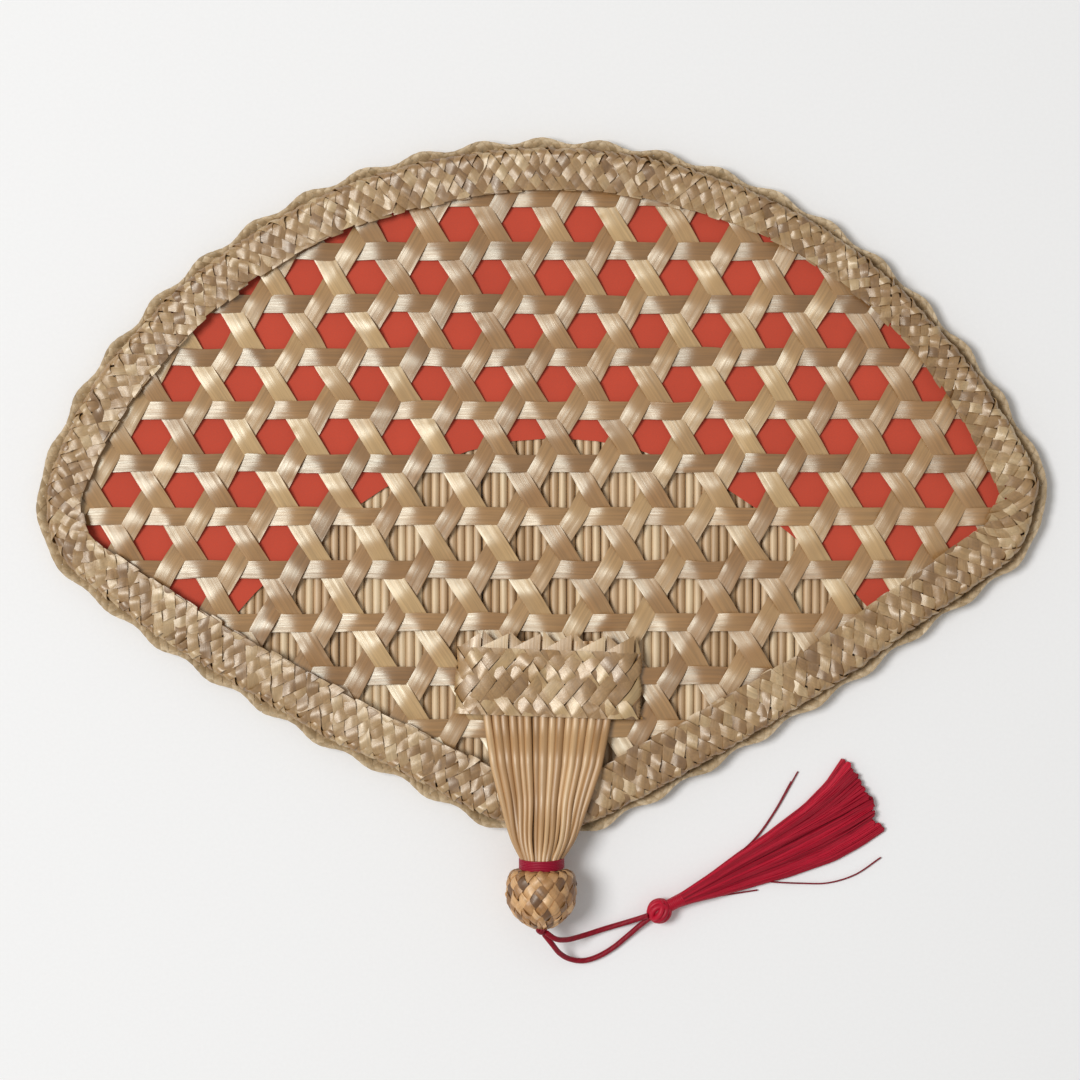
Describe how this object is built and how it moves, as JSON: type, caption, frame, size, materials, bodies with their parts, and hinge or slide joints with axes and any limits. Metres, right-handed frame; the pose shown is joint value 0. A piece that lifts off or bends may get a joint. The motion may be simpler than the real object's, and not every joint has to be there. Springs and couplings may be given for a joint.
{
  "type": "woven straw hand fan",
  "caption": "Flat hand fan of straw stems, red card and open hexagonal straw weave, with plaited edging, a bound stem handle, a plaited knob and a tassel on a swinging cord.",
  "frame": {"origin": "on the surface that the fan lies on, under the middle of the box round the fan without its cord and tassel", "axes": "+X to the right across the fan's width, +Y from the knob to the top edge, +Z out of the front face"},
  "size_m": [0.3222, 0.2664, 0.0231],
  "materials": {
    "straw": "satin straw strip",
    "pale_straw": "satin pale straw",
    "stem_straw": "satin round straw",
    "red_card": "matte card",
    "red_silk": "soft silk",
    "red_thread": "fine thread"
  },
  "bodies": {
    "fan": {"rear_edging_braid": "pale_straw", "stem_mat_left": "stem_straw", "stem_mat_right": "stem_straw", "core_stems": "stem_straw", "red_card": "red_card", "front_edging_braid": "straw", "handle_stems": "stem_straw", "handle_sleeve": "straw", "neck_binding": "red_thread", "knob_plait": "pale_straw", "knob_core": "stem_straw", "cord_stop_knot": "red_silk", "level_strip_01": "straw", "level_strip_02": "straw", "level_strip_03": "straw", "level_strip_04": "straw", "level_strip_05": "straw", "level_strip_06": "straw", "level_strip_07": "straw", "level_strip_08": "straw", "level_strip_09": "straw", "level_strip_10": "straw", "level_strip_11": "straw", "falling_strip_01": "straw", "falling_strip_02": "straw", "falling_strip_03": "straw", "falling_strip_04": "straw", "falling_strip_05": "straw", "falling_strip_06": "straw", "falling_strip_07": "straw", "falling_strip_08": "straw", "falling_strip_09": "straw", "falling_strip_10": "straw", "falling_strip_11": "straw", "falling_strip_12": "straw", "falling_strip_13": "straw", "falling_strip_14": "straw", "falling_strip_15": "straw", "rising_strip_01": "straw", "rising_strip_02": "straw", "rising_strip_03": "straw", "rising_strip_04": "straw", "rising_strip_05": "straw", "rising_strip_06": "straw", "rising_strip_07": "straw", "rising_strip_08": "straw", "rising_strip_09": "straw", "rising_strip_10": "straw", "rising_strip_11": "straw", "rising_strip_12": "straw", "rising_strip_13": "straw", "rising_strip_14": "straw", "rising_strip_15": "straw"},
    "cord": {"cord_upper_strand": "red_silk", "cord_lower_strand": "red_silk"},
    "tassel": {"tassel_knot": "red_silk", "tassel_binding": "red_thread", "tassel_skirt": "red_silk"}
  },
  "joints": [
    {"name": "cord_swing", "type": "hinge", "parent": "fan", "child": "cord", "pos_m": [0, -0.1271, 0.0116], "axis": [0, 0, 1], "range_deg": [-80, 4]},
    {"name": "tassel_swing", "type": "hinge", "parent": "cord", "child": "tassel", "pos_m": [0.0379, -0.1221, 0.0037], "axis": [0, 0, 1], "range_deg": [-70, 6]}
  ]
}
